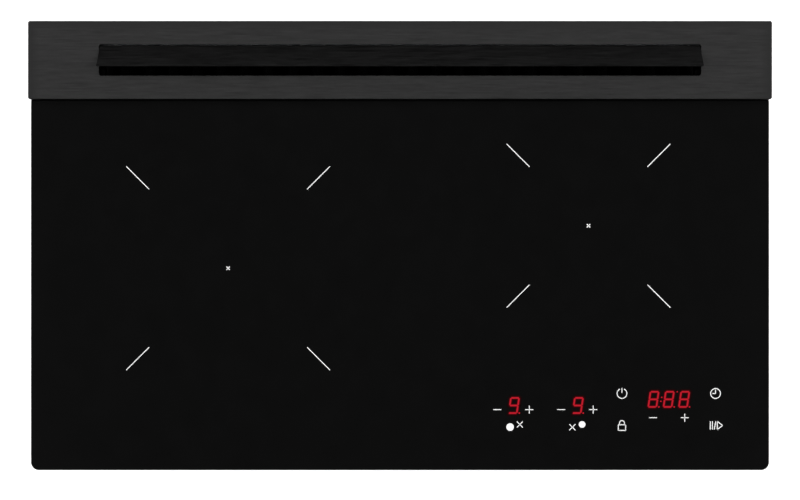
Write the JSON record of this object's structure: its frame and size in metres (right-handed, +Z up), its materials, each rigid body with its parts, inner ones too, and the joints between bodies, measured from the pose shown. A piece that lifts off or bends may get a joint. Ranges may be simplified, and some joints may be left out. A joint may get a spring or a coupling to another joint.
{
  "type": "induction hob with downdraft vent",
  "caption": "Built-in black glass induction hob with touch controls and a raised rear vent strip whose hinged flap opens an air slot to a blower below the worktop.",
  "frame": {"origin": "middle of the top's outline, on the worktop's surface, which is the gasket's underside", "axes": "+X to the user's right, +Y away from the user to the vent strip, +Z up out of the worktop"},
  "size_m": [0.6, 0.3638, 0.2808],
  "materials": {
    "glass_black": "polished black glass-ceramic",
    "steel_dark": "dark coated steel, brushed along its length",
    "steel_black": "satin black coated steel",
    "steel_bare": "plain steel",
    "steel_galvanised": "galvanised sheet steel",
    "rubber_black": "soft black seal",
    "silicone_grey": "grey silicone",
    "plastic_black": "fine-grained black plastic",
    "plastic_grey": "light grey plastic",
    "aluminium_plain": "mill-finish aluminium",
    "copper_litz": "enamelled copper litz",
    "ferrite_dark": "sintered ferrite",
    "resin_brown": "moulded resin",
    "mica_sheet": "pressed mica",
    "board_green": "coated circuit board",
    "film_blue": "cast capacitor case",
    "motor_steel": "black motor steel",
    "digit_red": "red display segments",
    "print_white": "fired white print on the glass"
  },
  "bodies": {
    "hob": {"glass_ceramic_plate": "glass_black", "vent_strip_cover": "steel_dark", "flap_brackets": "steel_black", "filter_frame": "steel_black", "filter_mesh": "steel_black", "flap_hinge_rod": "steel_bare", "clamp_bolts": "steel_bare", "clamp_screws": "steel_bare", "plenum_screws": "steel_bare", "scroll_screws": "steel_bare", "bottom_casing": "steel_galvanised", "casing_walls": "steel_galvanised", "compartment_wall": "steel_galvanised", "fixing_clamps": "steel_galvanised", "tray_runners": "steel_galvanised", "seam_seal": "rubber_black", "worktop_gasket": "rubber_black", "touch_pads": "rubber_black", "adhesive_beads": "silicone_grey", "coil_supports_left": "silicone_grey", "coil_supports_right": "silicone_grey", "pan_sensor_left": "silicone_grey", "pan_sensor_right": "silicone_grey", "air_plenum": "plastic_black", "plenum_cover": "plastic_black", "scroll_housing": "plastic_black", "scroll_cover": "plastic_black", "inlet_ring": "plastic_black", "outlet_adapter": "plastic_black", "cooling_fan_frame": "plastic_black", "cable_gland": "plastic_black", "power_transistors": "plastic_black", "terminal_block": "plastic_grey", "touch_board_carrier": "plastic_grey", "board_spacers": "plastic_grey", "coil_carrier_plate": "aluminium_plain", "carrier_posts": "aluminium_plain", "heat_sink": "aluminium_plain", "coil_winding_left": "copper_litz", "coil_winding_right": "copper_litz", "choke_coil": "copper_litz", "ferrite_bars_left": "ferrite_dark", "ferrite_bars_right": "ferrite_dark", "coil_former_left": "resin_brown", "coil_former_right": "resin_brown", "mica_disc_left": "mica_sheet", "mica_disc_right": "mica_sheet", "power_board": "board_green", "touch_board": "board_green", "film_capacitors": "film_blue", "motor_stator": "motor_steel", "digit_displays": "digit_red"},
    "flap": {"vent_flap": "steel_black", "flap_hinge_tube": "steel_black"},
    "blower": {"motor_rotor": "motor_steel", "blower_wheel": "plastic_black"},
    "cooling_fan": {"cooling_fan_rotor": "plastic_black"},
    "damper": {"damper_flap": "plastic_grey"},
    "tray": {"drip_tray": "plastic_black"}
  },
  "joints": [
    {"name": "flap_hinge", "type": "hinge", "parent": "hob", "child": "flap", "pos_m": [0, 0.15995, 0.01195], "axis": [-1, 0, 0], "range_deg": [-37.5, 52.5]},
    {"name": "blower_spin", "type": "hinge", "parent": "hob", "child": "blower", "pos_m": [-0.025, 0.085, -0.129], "axis": [0, -1, 0], "continuous": true},
    {"name": "cooling_fan_spin", "type": "hinge", "parent": "hob", "child": "cooling_fan", "pos_m": [-0.208, -0.03, -0.037], "axis": [0, 0, 1], "continuous": true},
    {"name": "damper_swing", "type": "hinge", "parent": "hob", "child": "damper", "pos_m": [0.128, 0.06235, -0.1825], "axis": [0, -1, 0], "range_deg": [0, 80]},
    {"name": "tray_slide", "type": "slide", "parent": "hob", "child": "tray", "axis": [-1, 0, 0], "range_m": [0, 0.135]}
  ]
}
